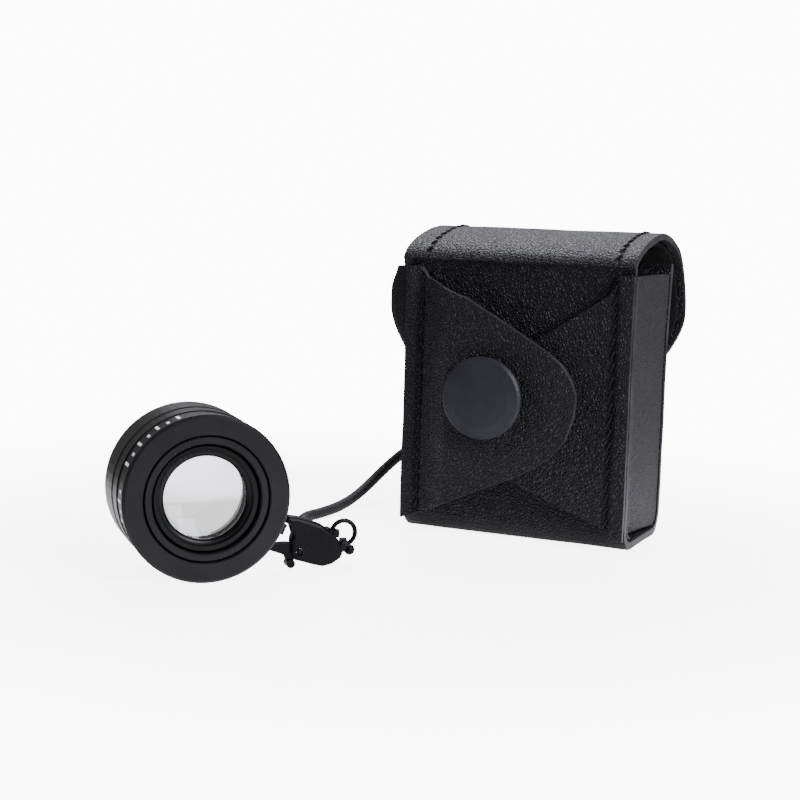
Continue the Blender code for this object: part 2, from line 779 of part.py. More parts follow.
def inset_outline(outline, distance):
    """A closed outline, counterclockwise, moved inwards with mitred corners."""
    count = len(outline)
    moved = []
    for index in range(count):
        here = Vector(outline[index])
        before = (here - Vector(outline[index - 1])).normalized()
        after = (Vector(outline[(index + 1) % count]) - here).normalized()
        normals = [Vector((-run.y, run.x)) for run in (before, after)]
        total = (normals[0] + normals[1]).normalized()
        moved.append(here + total * distance / max(total.dot(normals[0]), 0.5))
    return [(p.x, p.y) for p in moved]


def bevelled_plate(outline, low, high, bevel):
    """A plate whose edges are rounded in three steps."""
    steps = [(bevel * inset, bevel * rise) for inset, rise in ((1.1, 0), (0.5, 0.25), (0.15, 0.65), (0, 1.3))]
    levels = [(inset_outline(outline, inset), low + rise) for inset, rise in steps]
    levels += [(inset_outline(outline, inset), high - rise) for inset, rise in steps[::-1]]
    return loft([[(x, y, z) for x, y in points] for points, z in levels])


def clasp(metal):
    knob = loupe_point(*KNOB, BAIL_DEPTH)
    pivot = loupe_point(*GATE_PIVOT, BAIL_DEPTH)
    half = CLASP_THICKNESS / 2
    plate = on_loupe(bevelled_plate(CLASP_OUTLINE, -half, half, 0.5), 0, 0, BAIL_DEPTH)
    body = finish_mesh(plate, "clasp_body", metal, knob)
    hook = tube([(x, y, 0) for x, y, _ in HOOK_ROUTE], 1.0, 12)
    for index, vert in enumerate(hook.verts):
        x, y, radius = HOOK_ROUTE[index // 12]
        centre = Vector((x, y, 0))
        vert.co = centre + (vert.co - centre) * radius
    cut(body, finish_mesh(on_loupe(hook, 0, 0, BAIL_DEPTH), "hook_arm", GUIDE_MATERIAL, knob), "UNION")
    slot = on_loupe(extrude_outline(SLOT_OUTLINE, -0.75, 0.75), 0, 0, BAIL_DEPTH)
    cut(body, finish_mesh(slot, "gate_slot", GUIDE_MATERIAL, knob))
    pin_hole = on_loupe(cylinder(0.6, -2, 2, 16), *GATE_PIVOT, BAIL_DEPTH)
    cut(body, finish_mesh(pin_hole, "pin_hole", GUIDE_MATERIAL, knob))
    along = SWIVEL_DIRECTION[0] * ACROSS + SWIVEL_DIRECTION[1] * UPWARD
    bore = turned_towards(cylinder(0.75, -5.2, 1.0, 20), along, knob)
    cut(body, finish_mesh(bore, "swivel_bore", GUIDE_MATERIAL, knob))
    pin = on_loupe(cylinder(0.35, -1.15, 1.15, 16), *GATE_PIVOT, BAIL_DEPTH)
    finish_mesh(pin, "clasp_pin", metal, knob)

    gate = on_loupe(bevelled_plate(GATE_OUTLINE, -0.45, 0.45, 0.15), 0, 0, BAIL_DEPTH)
    gate = finish_mesh(gate, "clasp_gate", metal, pivot)
    nub = on_loupe(cylinder(0.65, -0.95, 0.95, 16), 13.93, -11.2, BAIL_DEPTH)
    cut(gate, finish_mesh(nub, "thumb_nub", GUIDE_MATERIAL, pivot), "UNION")
    gate_hole = on_loupe(cylinder(0.6, -2, 2, 16), *GATE_PIVOT, BAIL_DEPTH)
    cut(gate, finish_mesh(gate_hole, "gate_hole", GUIDE_MATERIAL, pivot))


def swivel_knob(metal):
    """A round knob with a post in the clasp's tail and an eye on a neck behind it."""
    centre = loupe_point(*KNOB, BAIL_DEPTH)
    eye_centre = loupe_point(RING_CENTRE[0], RING_CENTRE[1] - RING_RADIUS, RING_DEPTH)
    ball = turn_solid(arc((0, 0), 0.8, -90, 90, 9), 20)
    knob = finish_mesh(turned_towards(ball, OUTWARD, centre), "swivel_knob", metal, eye_centre)
    back = -(SWIVEL_DIRECTION[0] * ACROSS + SWIVEL_DIRECTION[1] * UPWARD)
    post = turned_towards(cylinder(0.45, 0.2, 4.8, 16), back, centre)
    cut(knob, finish_mesh(post, "knob_post", GUIDE_MATERIAL, eye_centre), "UNION")
    reach = RING_DEPTH - 0.85 - BAIL_DEPTH
    neck = turned_towards(cylinder(0.38, 0.2, reach, 16), -OUTWARD, centre)
    cut(knob, finish_mesh(neck, "knob_neck", GUIDE_MATERIAL, eye_centre), "UNION")
    eye = turn_profile([(0.65, -0.4), (1.1, -0.4), (1.1, 0.4), (0.65, 0.4)], 24)
    turned_towards(eye, ACROSS, eye_centre)
    cut(knob, finish_mesh(eye, "knob_eye", GUIDE_MATERIAL, eye_centre), "UNION")


def clasp_ring(metal):
    outline = [
        (RING_RADIUS + RING_WIRE * math.cos(a), RING_WIRE * math.sin(a))
        for a in (2 * math.pi * step / 12 for step in range(12))
    ]
    body = on_loupe(turn_profile(outline, 40), *RING_CENTRE, RING_DEPTH)
    crimp_place = loupe_point(RING_CENTRE[0] - RING_RADIUS, RING_CENTRE[1], RING_DEPTH)
    finish_mesh(body, "clasp_ring", metal, crimp_place)
    return crimp_place


# ---------------------------------------------------------------- assembly


clear_scene()
GUIDE_MATERIAL = make_material("guide", (0.5, 0.5, 0.5), 0.5)
outer_leather = make_material("black_leather", (0.022, 0.021, 0.022), 0.55)
gusset_leather = make_material("gusset_leather", (0.05, 0.048, 0.046), 0.5)
lining_leather = make_material("lining_leather", (0.08, 0.07, 0.06), 0.8)
cap_coating = make_material("cap_coating", (0.03, 0.03, 0.034), 0.45)
bright_metal = make_material("bright_metal", (0.7, 0.69, 0.66), 0.25, 1.0)
anodised = make_material("anodised", (0.03, 0.029, 0.031), 0.4, 0.6)
lens_glass = make_material("lens_glass", (0.97, 0.98, 1.0), 0.02, 0.0, 1.0)
cord_fibre = make_material("cord_fibre", (0.02, 0.02, 0.02), 0.8)

body_wrap(outer_leather)
body_lining(lining_leather)
gusset("gusset_left", -1, LEFT_BULGE, gusset_leather)
gusset("gusset_right", 1, 0.0, gusset_leather)
tongue_root("outer_tongue_root", -1, outer_leather)
tongue_root("inner_tongue_root", 1, outer_leather)
lid_sheet("lid_leather", 0, 0.0, LID_LEATHER, 0.0, outer_leather)
lid_sheet("lid_lining", 6, LID_LEATHER + LAYER_GAP, LID_LINING, 1.2, lining_leather)
outer_tongue(outer_leather)
inner_tongue(outer_leather)
front_snap(bright_metal, cap_coating)
lid_snap(bright_metal, cap_coating)
cord_tab(outer_leather, bright_metal)
magnifier(anodised, lens_glass)
lanyard_collar(anodised)
clasp(bright_metal)
swivel_knob(bright_metal)
ring_crimp_place = clasp_ring(bright_metal)
crimp("tab_crimp", STAPLE, (0, 0, 1), CORD_ROUTE[0], bright_metal)
crimp("ring_crimp", ring_crimp_place, (0, 0, 1), CORD_ROUTE[-1], bright_metal)
tether_cord(cord_fibre)
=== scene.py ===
import math

import bmesh
import bpy
from mathutils import Matrix, Vector, noise


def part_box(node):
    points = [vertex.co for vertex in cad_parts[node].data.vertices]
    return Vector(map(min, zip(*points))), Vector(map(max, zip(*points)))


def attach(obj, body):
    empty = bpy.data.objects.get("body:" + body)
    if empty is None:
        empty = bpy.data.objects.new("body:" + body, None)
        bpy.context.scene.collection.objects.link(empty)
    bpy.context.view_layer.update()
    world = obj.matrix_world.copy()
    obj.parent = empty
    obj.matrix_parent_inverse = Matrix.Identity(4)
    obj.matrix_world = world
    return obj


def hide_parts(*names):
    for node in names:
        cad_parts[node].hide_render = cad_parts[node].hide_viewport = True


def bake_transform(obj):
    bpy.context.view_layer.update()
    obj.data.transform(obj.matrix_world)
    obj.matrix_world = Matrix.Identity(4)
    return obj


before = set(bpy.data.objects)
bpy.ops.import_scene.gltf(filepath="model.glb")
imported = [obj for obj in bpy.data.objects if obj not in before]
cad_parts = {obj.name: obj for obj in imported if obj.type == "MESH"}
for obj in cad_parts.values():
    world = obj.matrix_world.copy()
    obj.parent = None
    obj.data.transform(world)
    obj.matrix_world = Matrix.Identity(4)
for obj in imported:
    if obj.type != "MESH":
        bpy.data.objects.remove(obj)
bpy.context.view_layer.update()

MM = 0.001

# Camera
CAMERA_PLACE = (88.05, -249.47, 55.01)
CAMERA_HEADING = math.radians(24.296)
CAMERA_PITCH = math.radians(7.301)
CAMERA_ROLL = math.radians(1.761)
LENS = 72.0
SENSOR_WIDTH = 36.0
NEAREST_SEEN = 0.005
FURTHEST_SEEN = 20.0

# Surroundings: how bright the camera sees them, directly and through a lens, and how much they light
WORLD_SEEN = 12.0
WORLD_THROUGH_LENS = 1.3
WORLD_LIGHT = 0.24
FLOOR_SEEN = 5.5
FLOOR_LIGHT = 0.8
FLOOR_SIZE = 1.0
FLOOR_FADE_START = 0.05
FLOOR_FADE_END = 0.15
LIGHT_COLOUR = (0.93, 0.935, 1.0)
LIGHT_TARGET = (-0.01, -0.02, 0.02)

# Magnifier
LOUPE_FRONT = (-26.32, -60.19, 12.0)
LOUPE_HEADING = math.radians(44.12)
BAND_RADIUS = 11.75
INDEX_ANGLES = [108 + 8.0 * step for step in range(7)] + [175 + 7.0 * step for step in range(4)]
INDEX_WIDTH = 0.42
INDEX_START = 2.1
INDEX_LONG_END = 4.5
INDEX_SHORT_END = 3.4
LENS_RADIUS = 6.4
RETAINER_OUTLINE = [(5.95, 1.7), (6.3, 1.3), (6.72, 1.3), (6.72, 1.95), (5.95, 1.95)]
TURN_STEPS = 72

# Cord
CORD_DIAMETER = 1.8
CORD_ROUTE = [
    (-16.3, 14.9, 16.6),
    (-18.4, 15.6, 15.6),
    (-21.4, 16.2, 13.9),
    (-24.6, 16.1, 11.8),
    (-27.6, 15.1, 9.9),
    (-30.0, 13.4, 8.1),
    (-31.9, 11.2, 5.9),
    (-33.2, 8.5, 3.8),
    (-33.9, 5.2, 2.2),
    (-34.1, 1.4, 1.3),
    (-33.9, -2.8, 0.98),
    (-33.7, -7.0, 0.95),
    (-33.9, -11.2, 0.95),
    (-34.3, -14.6, 0.95),
    (-33.6, -17.8, 0.95),
    (-31.2, -20.7, 0.95),
    (-28.3, -23.8, 0.97),
    (-25.9, -27.2, 1.15),
    (-24.3, -30.6, 1.7),
    (-22.7, -33.7, 2.5),
    (-20.9, -36.0, 3.3),
]

# Case
SNAP_CENTRE = (-3.5, 23.55)
LID_SNAP_HEIGHT = 24.0
LID_STITCH_X = 16.0
SEAM_STITCH_X = 16.2
STITCH_PITCH = 2.05
STITCH_LENGTH = 1.55
STITCH_SLANT = 0.38
STITCH_SIDES = 8
THREAD_RADIUS = 0.21
ROLLED_EDGE_X = 17.8
LID_LINE = [
    (-10.9, 43.75),
    (-10.5, 45.0),
    (-9.4, 46.3),
    (-7.4, 47.5),
    (-4.4, 48.6),
    (-1.0, 49.4),
    (2.5, 49.95),
    (6.0, 50.1),
    (10.0, 49.5),
    (13.5, 48.4),
    (16.4, 46.9),
    (18.6, 44.8),
    (20.2, 42.2),
    (21.3, 39.2),
    (21.7, 36.2),
    (21.4, 33.0),
    (20.8, 29.5),
    (19.9, 26.0),
    (18.9, 22.5),
    (17.9, 19.0),
    (17.1, 15.8),
]
CREASE_LINE = [(-9.66, 39.5), (-9.72, 41.2), (-9.8, 42.4), (-9.95, 43.4), (-10.1, 44.4)]
LID_LEFT_EXTRA = 0.9
FLAP_START = 35.5
FLAP_END = 15.8
HALF_WIDTH = 19.1
CREASE_HALF = 15.2
CREASE_LEATHER = 0.25
LID_LEATHER = 1.1
TONGUE_BACK = -9.9
ROOT_LEATHER = 1.0
OUTER_LEATHER = 1.2
OUTER_LIFT = 3.35
INNER_LEATHER = 0.9
INNER_LIFT = 0.5
OUTER_STEPS = [-19.1, -18.0, -17.0, -16.4, -15.9, -15.5, -15.1]
OUTER_STEPS += [-14.6 + 0.5 * step for step in range(14)]
OUTER_STEPS += [-7.1, -3.5, 1.3, 4.65, 6.6, 7.8, 9.1, 10.05, 10.6, 11.0, 11.3, 11.45, 11.56]
INNER_STEPS = [-8.97, -8.85, -8.7, -8.4, -7.8, -7.0, -5.5, -4.0, -3.0, 0.0, 3.0]
INNER_STEPS += [3.0 + 1.2 * step for step in range(1, 11)] + [15.5, 16.0, 16.5, 17.2, 18.2, 19.1]
OUTER_UPPER = [
    (-19.1, 43.6),
    (-16.2, 43.6),
    (-15.4, 41.9),
    (-7.1, 39.1),
    (1.3, 34.2),
    (6.6, 31.2),
    (9.1, 29.4),
    (10.6, 27.4),
    (11.4, 25.6),
    (11.6, 24.4),
]
OUTER_LOWER = [
    (-19.1, 1.9),
    (-16, 2.9),
    (-12.5, 4.5),
    (-5.9, 7.6),
    (0.25, 10.4),
    (4.65, 12.6),
    (7.8, 14.9),
    (10.05, 17.6),
    (11.3, 21.2),
    (11.6, 24.3),
]
INNER_UPPER = [
    (-9.0, 23.5),
    (-8.7, 25.0),
    (-7.0, 26.9),
    (-3.0, 29.1),
    (3.0, 32.3),
    (15.4, 40.7),
    (16.2, 43.6),
    (19.1, 43.6),
]
INNER_LOWER = [
    (-9.0, 23.4),
    (-8.6, 20.2),
    (-7.0, 16.6),
    (-4.0, 13.1),
    (0.0, 10.2),
    (16.0, 3.7),
    (19.1, 1.9),
]


# ---------------------------------------------------------------- camera, floor and light


def look_direction():
    """Where the camera looks, from its heading to the left of +Y and its pitch below the horizon."""
    return Vector(
        (
            -math.sin(CAMERA_HEADING) * math.cos(CAMERA_PITCH),
            math.cos(CAMERA_HEADING) * math.cos(CAMERA_PITCH),
            -math.sin(CAMERA_PITCH),
        )
    )


def make_camera():
    """The camera that fits the case and the magnifier in the picture."""
    forward = look_direction()
    right = forward.cross(Vector((0, 0, 1))).normalized()
    up = right.cross(forward)
    x_axis = math.cos(CAMERA_ROLL) * right + math.sin(CAMERA_ROLL) * up
    y_axis = -math.sin(CAMERA_ROLL) * right + math.cos(CAMERA_ROLL) * up
    data = bpy.data.cameras.new("view")
    data.lens = LENS
    data.sensor_width = SENSOR_WIDTH
    data.clip_start = NEAREST_SEEN
    data.clip_end = FURTHEST_SEEN
    camera = bpy.data.objects.new("view", data)
    bpy.context.collection.objects.link(camera)
    turn = Matrix((x_axis, y_axis, -forward)).transposed().to_4x4()
    camera.matrix_world = Matrix.Translation(Vector(CAMERA_PLACE) * MM) @ turn
    bpy.context.scene.camera = camera


def area_light(name, place, size, power):
    """A soft rectangular light that faces the object."""
    data = bpy.data.lights.new(name, "AREA")
    data.shape = "RECTANGLE"
    data.size = size[0]
    data.size_y = size[1]
    data.energy = power
    data.color = LIGHT_COLOUR
    light = bpy.data.objects.new(name, data)
    bpy.context.collection.objects.link(light)
    run = Vector(LIGHT_TARGET) - Vector(place)
    turn = run.to_track_quat("-Z", "Y").to_matrix().to_4x4()
    light.matrix_world = Matrix.Translation(Vector(place)) @ turn


def bright_to_camera(owner, seen, through, elsewhere):
    """A strength for rays from the camera, for rays through a lens, and for the light on the object."""
    path = add_node(owner, "ShaderNodeLightPath")
    strength = mix_value(owner, elsewhere, through, path.outputs["Is Transmission Ray"])
    return mix_value(owner, strength, seen, path.outputs["Is Camera Ray"])


def make_world():
    """Even white surroundings, brighter where the camera sees them directly or through a lens."""
    world = bpy.data.worlds.new("studio")
    bpy.context.scene.world = world
    world.use_nodes = True
    background = world.node_tree.nodes["Background"]
    strength = bright_to_camera(world, WORLD_SEEN, WORLD_THROUGH_LENS, WORLD_LIGHT)
    link(world, strength, background.inputs["Strength"])
    background.inputs["Color"].default_value = (1, 1, 1, 1)


def make_studio():
    """Three soft lights, the surroundings and a floor just under the object."""
    make_world()
    area_light("top_light", (-0.14, 0.4, 0.52), (0.7, 0.4), 8.5)
    area_light("left_light", (-0.6, -0.25, 0.5), (0.3, 0.4), 2.2)
    area_light("right_light", (0.62, -0.22, 0.42), (0.3, 0.5), 12.5)
    bpy.ops.mesh.primitive_plane_add(size=FLOOR_SIZE, location=(-0.012, -0.025, -0.00005))
    floor = bpy.context.object
    floor.name = "floor"
    floor.data.materials.append(floor_material())


def floor_material():
    """A white table that fades into the white surroundings away from the object."""
    material, shader = new_material("floor_white")
    shader.inputs["Base Color"].default_value = (0.97, 0.97, 0.97, 1)
    shader.inputs["Roughness"].default_value = 0.4
    shader.inputs["Emission Color"].default_value = (1, 1, 1, 1)
    glow = bright_to_camera(material, FLOOR_SEEN, FLOOR_LIGHT, FLOOR_LIGHT)
    link(material, glow, shader.inputs["Emission Strength"])
    place = add_node(material, "ShaderNodeTexCoord")
    reach = add_node(
        material, "ShaderNodeVectorMath", [(0, place.outputs["Object"])], operation="LENGTH"
    )
    fade = add_node(
        material,
        "ShaderNodeMapRange",
        [
            ("Value", reach.outputs["Value"]),
            ("From Min", FLOOR_FADE_START),
            ("From Max", FLOOR_FADE_END),
            ("To Min", 1.0),
            ("To Max", 0.0),
        ],
        interpolation_type="SMOOTHSTEP",
    )
    link(material, fade.outputs["Result"], shader.inputs["Alpha"])
    return material


# ---------------------------------------------------------------- material nodes


def new_material(name):
    """A material and its shader node."""
    material = bpy.data.materials.new(name)
    material.use_nodes = True
    return material, material.node_tree.nodes["Principled BSDF"]


def add_node(owner, kind, links=(), **settings):
    """A node of a material or world, with its attributes and, by socket, its values or links."""
    node = owner.node_tree.nodes.new(kind)
    for name, value in settings.items():
        setattr(node, name, value)
    for socket, value in links:
        if isinstance(value, bpy.types.NodeSocket):
            owner.node_tree.links.new(value, node.inputs[socket])
        else:
            node.inputs[socket].default_value = value
    return node


def object_place(material, location=(0, 0, 0), rotation=(0, 0, 0)):
    """Coordinates of a surface point on the object, in metres, moved into another set of axes."""
    place = add_node(material, "ShaderNodeTexCoord")
    return add_node(
        material,
        "ShaderNodeMapping",
        [("Vector", place.outputs["Object"]), ("Location", location), ("Rotation", rotation)],
        vector_type="TEXTURE",
    ).outputs["Vector"]


def noise_at(material, vector, scale, detail, roughness=0.5):
    """Noise from 0 to 1 at a place on the object."""
    return add_node(
        material,
        "ShaderNodeTexNoise",
        [("Vector", vector), ("Scale", scale), ("Detail", detail), ("Roughness", roughness)],
    ).outputs["Fac"]


def mix_value(owner, first, second, share):
    """One value between two others, by a share; each may be a number or a link."""
    links = [(2, first), (3, second), (0, share)]
    return add_node(owner, "ShaderNodeMix", links, data_type="FLOAT").outputs[0]


def ramp(material, value, stops):
    """A colour ramp with stops of (position, colour)."""
    node = add_node(material, "ShaderNodeValToRGB", [("Fac", value)])
    elements = node.color_ramp.elements
    while len(elements) < len(stops):
        elements.new(0.5)
    for element, (position, colour) in zip(elements, stops):
        element.position = position
        element.color = (*colour, 1)
    return node.outputs["Color"]


def bump(material, height, distance, strength, before=None):
    """A normal bent by a height in metres, over an earlier one if there is one."""
    links = [("Height", height), ("Distance", distance), ("Strength", strength)]
    if before is not None:
        links.append(("Normal", before))
    return add_node(material, "ShaderNodeBump", links).outputs["Normal"]


def link(owner, output, socket):
    owner.node_tree.links.new(output, socket)


# ---------------------------------------------------------------- materials


def leather(name, dark, light, cell, depth, roughness):
    """Pebbled leather: rounded cells of one size, with finer pores, creases and uneven gloss."""
    material, shader = new_material(name)
    place = object_place(material)
    bend = add_node(
        material, "ShaderNodeTexNoise", [("Vector", place), ("Scale", 600.0), ("Detail", 2.0)]
    ).outputs["Color"]
    scaled = add_node(
        material, "ShaderNodeVectorMath", [(0, bend), ("Scale", cell * 1.1)], operation="SCALE"
    ).outputs["Vector"]
    added = add_node(material, "ShaderNodeVectorMath", [(0, place), (1, scaled)], operation="ADD")
    cells = add_node(
        material,
        "ShaderNodeTexVoronoi",
        [("Vector", added.outputs["Vector"]), ("Scale", 1 / cell)],
        feature="DISTANCE_TO_EDGE",
    ).outputs["Distance"]
    rounded = add_node(
        material,
        "ShaderNodeMapRange",
        [("Value", cells), ("From Max", 0.28)],
        interpolation_type="SMOOTHSTEP",
    ).outputs["Result"]
    pores = noise_at(material, place, 5200.0, 2.0)
    waves = noise_at(material, place, 90.0, 3.0)
    large = bump(material, waves, 0.0006, 0.35)
    pebble = bump(material, rounded, depth, 0.9, large)
    link(material, bump(material, pores, depth * 0.25, 0.6, pebble), shader.inputs["Normal"])
    shade = mix_value(material, rounded, waves, 0.35)
    link(material, ramp(material, shade, [(0.15, dark), (0.8, light)]), shader.inputs["Base Color"])
    gloss = mix_value(material, roughness + 0.12, roughness - 0.06, rounded)
    link(material, gloss, shader.inputs["Roughness"])
    shader.inputs["Specular IOR Level"].default_value = 0.17
    return material


def raw_leather(name, dark, light):
    """The flesh side of leather: matt, with a short nap."""
    material, shader = new_material(name)
    place = object_place(material)
    nap = noise_at(material, place, 2600.0, 4.0, 0.7)
    clouds = noise_at(material, place, 160.0, 3.0)
    shade = mix_value(material, nap, clouds, 0.5)
    link(material, ramp(material, shade, [(0.3, dark), (0.7, light)]), shader.inputs["Base Color"])
    link(material, bump(material, nap, 0.00012, 0.8), shader.inputs["Normal"])
    shader.inputs["Roughness"].default_value = 0.9
    shader.inputs["Specular IOR Level"].default_value = 0.1
    return material


def coated_metal(name, dark, light, roughness, grain, specular=0.18):
    """A matt coating over metal, with a fine tooth and faint clouds."""
    material, shader = new_material(name)
    place = object_place(material)
    tooth = noise_at(material, place, grain, 3.0, 0.6)
    clouds = noise_at(material, place, 220.0, 2.0)
    link(material, ramp(material, clouds, [(0.3, dark), (0.7, light)]), shader.inputs["Base Color"])
    link(material, bump(material, tooth, 0.00003, 0.5), shader.inputs["Normal"])
    gloss = mix_value(material, roughness - 0.06, roughness + 0.08, clouds)
    link(material, gloss, shader.inputs["Roughness"])
    shader.inputs["Specular IOR Level"].default_value = specular
    return material


def turned_metal(name, dark, light, roughness, depth):
    """Black anodised aluminium with fine rings left by the lathe about the magnifier's axis."""
    material, shader = new_material(name)
    turn = Matrix(LOUPE_AXES).transposed().to_euler()
    centre = tuple(Vector(LOUPE_FRONT) * MM)
    place = object_place(material, centre, tuple(turn))
    parts = add_node(material, "ShaderNodeSeparateXYZ", [("Vector", place)])
    flat = add_node(
        material, "ShaderNodeCombineXYZ", [("X", parts.outputs["X"]), ("Y", parts.outputs["Y"])]
    )
    radius = add_node(
        material, "ShaderNodeVectorMath", [(0, flat.outputs["Vector"])], operation="LENGTH"
    )
    line = add_node(
        material, "ShaderNodeCombineXYZ", [("X", radius.outputs["Value"]), ("Z", parts.outputs["Z"])]
    )
    rings = noise_at(material, line.outputs["Vector"], 7000.0, 2.0, 0.6)
    tooth = noise_at(material, place, 9000.0, 2.0)
    clouds = noise_at(material, place, 180.0, 2.0)
    fine = bump(material, rings, depth, 0.5)
    link(material, bump(material, tooth, 0.00001, 0.4, fine), shader.inputs["Normal"])
    link(material, ramp(material, clouds, [(0.3, dark), (0.7, light)]), shader.inputs["Base Color"])
    gloss = mix_value(material, roughness - 0.05, roughness + 0.07, rings)
    link(material, gloss, shader.inputs["Roughness"])
    shader.inputs["Specular IOR Level"].default_value = 0.13
    return material


def plated_metal(name, colour, roughness):
    """Bright plate with faint handling marks."""
    material, shader = new_material(name)
    place = object_place(material)
    marks = noise_at(material, place, 1400.0, 4.0, 0.65)
    shade = tuple(0.85 * c for c in colour)
    link(material, ramp(material, marks, [(0.3, shade), (0.7, colour)]), shader.inputs["Base Color"])
    gloss = mix_value(material, roughness - 0.05, roughness + 0.12, marks)
    link(material, gloss, shader.inputs["Roughness"])
    link(material, bump(material, marks, 0.00001, 0.4), shader.inputs["Normal"])
    shader.inputs["Metallic"].default_value = 1.0
    return material


def lens_glass():
    """Clear glass with a thin coating that varies a little over its face."""
    material, shader = new_material("coated_glass")
    place = object_place(material)
    clouds = noise_at(material, place, 120.0, 1.0)
    colours = [(0.3, (0.97, 0.985, 1.0)), (0.7, (0.99, 0.98, 1.0))]
    link(material, ramp(material, clouds, colours), shader.inputs["Base Color"])
    shader.inputs["Roughness"].default_value = 0.0
    shader.inputs["IOR"].default_value = 1.5
    shader.inputs["Transmission Weight"].default_value = 1.0
    return material


def cord_material():
    """Tightly braided black cord: two crossing sets of strands."""
    material, shader = new_material("braided_cord")
    place = add_node(material, "ShaderNodeTexCoord").outputs["UV"]
    weave = []
    for lean in (1.0, -1.0):
        moved = add_node(material, "ShaderNodeMapping", [("Vector", place)])
        moved.inputs["Scale"].default_value = (75.0, 4.0 * lean, 1.0)
        wave = add_node(
            material,
            "ShaderNodeTexWave",
            [("Vector", moved.outputs["Vector"]), ("Scale", 1.0), ("Distortion", 0.4)],
            bands_direction="DIAGONAL",
        )
        weave.append(wave.outputs["Fac"])
    crossing = add_node(
        material, "ShaderNodeMath", [(0, weave[0]), (1, weave[1])], operation="MAXIMUM"
    )
    fibres = noise_at(material, object_place(material), 6000.0, 3.0)
    height = mix_value(material, crossing.outputs["Value"], fibres, 0.3)
    link(material, bump(material, height, 0.00015, 0.9), shader.inputs["Normal"])
    colours = [(0.2, (0.0012, 0.0012, 0.0014)), (0.9, (0.007, 0.007, 0.008))]
    link(material, ramp(material, height, colours), shader.inputs["Base Color"])
    shader.inputs["Roughness"].default_value = 0.6
    shader.inputs["Specular IOR Level"].default_value = 0.15
    return material


def thread_material():
    """Waxed thread with a fine twist."""
    material, shader = new_material("waxed_thread")
    place = object_place(material)
    twist = noise_at(material, place, 7000.0, 2.0)
    link(material, bump(material, twist, 0.00005, 0.8), shader.inputs["Normal"])
    colours = [(0.3, (0.0015,) * 3), (0.7, (0.006,) * 3)]
    link(material, ramp(material, twist, colours), shader.inputs["Base Color"])
    shader.inputs["Roughness"].default_value = 0.5
    shader.inputs["Specular IOR Level"].default_value = 0.15
    return material


def mark_material():
    """White engraved paint, a little uneven."""
    material, shader = new_material("white_index")
    place = object_place(material)
    speckle = noise_at(material, place, 4200.0, 2.0)
    colours = [(0.3, (0.75,) * 3), (0.6, (0.92,) * 3)]
    link(material, ramp(material, speckle, colours), shader.inputs["Base Color"])
    shader.inputs["Roughness"].default_value = 0.55
    return material


# ---------------------------------------------------------------- mesh helpers


def smooth_line(points, steps):
    """Points on a smooth Catmull-Rom curve through the given ones, with steps to each span."""
    line = []
    pts = [Vector(p) for p in points]
    pts = [2 * pts[0] - pts[1], *pts, 2 * pts[-1] - pts[-2]]
    for p0, p1, p2, p3 in zip(pts, pts[1:], pts[2:], pts[3:]):
        for step in range(steps):
            t = step / steps
            first = 2 * p1 + (p2 - p0) * t
            second = (2 * p0 - 5 * p1 + 4 * p2 - p3) * t * t
            third = (3 * p1 - p0 - 3 * p2 + p3) * t**3
            line.append(0.5 * (first + second + third))
    line.append(pts[-2])
    return line


def evenly_along(line, spacing, start=0.0):
    """(point, direction) at an even spacing along a line."""
    found = []
    want = start
    done = 0.0
    for here, there in zip(line, line[1:]):
        run = there - here
        while run.length > 0 and want <= done + run.length:
            found.append((here + run * (want - done) / run.length, run.normalized()))
            want += spacing
        done += run.length
    return found


def add_object(name, mesh_data, material, body=None, *nodes):
    """A smooth-shaded piece from a bmesh in metres, riding on a body and standing for CAD nodes."""
    mesh = bpy.data.meshes.new(name)
    mesh_data.to_mesh(mesh)
    mesh_data.free()
    mesh.materials.append(material)
    mesh.shade_smooth()
    mesh.set_sharp_from_angle(angle=math.radians(50))
    obj = bpy.data.objects.new(name, mesh)
    bpy.context.collection.objects.link(obj)
    if body:
        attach(obj, body)
    if nodes:
        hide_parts(*nodes)
    return obj


def split_by_planes(mesh_data, spacing):
    """Adds edges on even planes across X, Y and Z, so that a large flat face can bend."""
    points = [v.co for v in mesh_data.verts]
    for axis in range(3):
        low = min(p[axis] for p in points)
        high = max(p[axis] for p in points)
        count = int((high - low) / spacing)
        for step in range(1, count):
            centre = Vector((0, 0, 0))
            centre[axis] = low + (high - low) * step / count
            normal = Vector((0, 0, 0))
            normal[axis] = 1
            geometry = mesh_data.verts[:] + mesh_data.edges[:] + mesh_data.faces[:]
            bmesh.ops.bisect_plane(
                mesh_data, geom=geometry, dist=1e-7, plane_co=centre, plane_no=normal
            )
        points = [v.co for v in mesh_data.verts]


def node_mesh(node):
    """A clean copy of a CAD node's mesh, in metres."""
    mesh_data = bmesh.new()
    mesh_data.from_mesh(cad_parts[node].data)
    bmesh.ops.remove_doubles(mesh_data, verts=mesh_data.verts, dist=2e-6)
    bmesh.ops.dissolve_limit(
        mesh_data, angle_limit=math.radians(0.5), verts=mesh_data.verts, edges=mesh_data.edges
    )
    return mesh_data


def join_rings(mesh_data, rings, closed=False):
    """Faces between rings of vertices. closed also joins the last ring to the first."""
    following = rings[1:] + rings[:1] if closed else rings[1:]
    for low, high in zip(rings, following):
        count = len(low)
        for index in range(count):
            after = (index + 1) % count
            mesh_data.faces.new((low[index], low[after], high[after], high[index]))


def loft(sections):
    """A closed body in metres through sections in millimetres, capped at both ends."""
    mesh_data = bmesh.new()
    rings = [[mesh_data.verts.new(Vector(point) * MM) for point in section] for section in sections]
    join_rings(mesh_data, rings)
    mesh_data.faces.new(rings[0])
    mesh_data.faces.new(rings[-1])
    bmesh.ops.recalc_face_normals(mesh_data, faces=mesh_data.faces)
    return mesh_data


